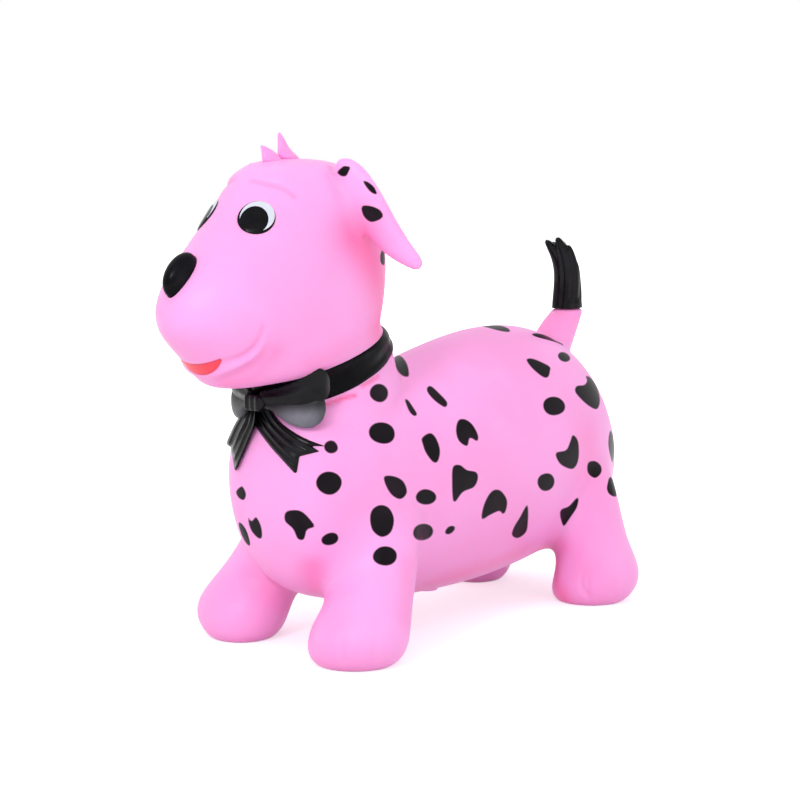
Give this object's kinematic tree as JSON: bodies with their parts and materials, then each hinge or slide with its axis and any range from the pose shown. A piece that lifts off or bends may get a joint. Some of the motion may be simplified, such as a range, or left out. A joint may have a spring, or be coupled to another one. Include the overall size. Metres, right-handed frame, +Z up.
{
  "type": "bouncy ride-on dog",
  "caption": "Air-filled vinyl hopper shaped as a spotted dog with flap ears to hold, squashy feet, a collar with a bow, a tufted tail and a belly valve.",
  "frame": {"origin": "on the floor, under the middle of the length and width", "axes": "+Z up, the dog faces -Y and its left side is at +X"},
  "size_m": [0.2712, 0.6155, 0.5102],
  "materials": {
    "pink_vinyl": "satin",
    "black_vinyl": "glossy",
    "eye_white": "glossy",
    "mouth_red": "satin",
    "plug_white": "satin"
  },
  "bodies": {
    "body": {"torso_skin": "pink_vinyl", "head_skin": "pink_vinyl", "front_left_leg": "pink_vinyl", "front_right_leg": "pink_vinyl", "rear_left_leg": "pink_vinyl", "rear_right_leg": "pink_vinyl", "hair_back": "pink_vinyl", "hair_front": "pink_vinyl", "valve_seat": "pink_vinyl", "collar": "black_vinyl", "bow_knot": "black_vinyl", "bow_left_loop": "black_vinyl", "bow_left_tail": "black_vinyl", "bow_right_loop": "black_vinyl", "bow_right_tail": "black_vinyl", "nose": "black_vinyl", "left_eye_pupil": "black_vinyl", "right_eye_pupil": "black_vinyl", "left_eye_white": "eye_white", "right_eye_white": "eye_white", "tongue": "mouth_red"},
    "front_left_foot": {"front_left_foot": "pink_vinyl"},
    "front_right_foot": {"front_right_foot": "pink_vinyl"},
    "rear_left_foot": {"rear_left_foot": "pink_vinyl"},
    "rear_right_foot": {"rear_right_foot": "pink_vinyl"},
    "left_ear": {"left_ear": "pink_vinyl"},
    "right_ear": {"right_ear": "pink_vinyl"},
    "tail": {"tail_stem": "pink_vinyl", "tail_tuft": "black_vinyl"},
    "plug": {"valve_plug": "plug_white"}
  },
  "joints": [
    {"name": "front_left_bounce", "type": "slide", "parent": "body", "child": "front_left_foot", "axis": [0, 0, 1], "range_m": [0, 0.01], "stiffness_N_per_m": 5000, "springref_m": -0.0012, "deforming": ["front_left_leg"]},
    {"name": "front_right_bounce", "type": "slide", "parent": "body", "child": "front_right_foot", "axis": [0, 0, 1], "range_m": [0, 0.01], "stiffness_N_per_m": 5000, "springref_m": -0.0012, "deforming": ["front_right_leg"]},
    {"name": "rear_left_bounce", "type": "slide", "parent": "body", "child": "rear_left_foot", "axis": [0, 0, 1], "range_m": [0, 0.01], "stiffness_N_per_m": 5000, "springref_m": -0.0012, "deforming": ["rear_left_leg"]},
    {"name": "rear_right_bounce", "type": "slide", "parent": "body", "child": "rear_right_foot", "axis": [0, 0, 1], "range_m": [0, 0.01], "stiffness_N_per_m": 5000, "springref_m": -0.0012, "deforming": ["rear_right_leg"]},
    {"name": "left_ear_flex", "type": "hinge", "parent": "body", "child": "left_ear", "pos_m": [0.066, -0.141, 0.448], "axis": [0.2844, 0.1422, -0.9481], "range_deg": [-20, 25], "stiffness_Nm_per_rad": 0.7},
    {"name": "right_ear_flex", "type": "hinge", "parent": "body", "child": "right_ear", "pos_m": [-0.066, -0.141, 0.448], "axis": [0.2844, -0.1422, 0.9481], "range_deg": [-20, 25], "stiffness_Nm_per_rad": 0.7},
    {"name": "tail_wag", "type": "hinge", "parent": "body", "child": "tail", "pos_m": [0, 0.258, 0.283], "axis": [0, 1, 0], "range_deg": [-20, 20], "stiffness_Nm_per_rad": 0.8},
    {"name": "plug_pull", "type": "slide", "parent": "body", "child": "plug", "axis": [0, 0, -1], "range_m": [0, 0.018]}
  ]
}
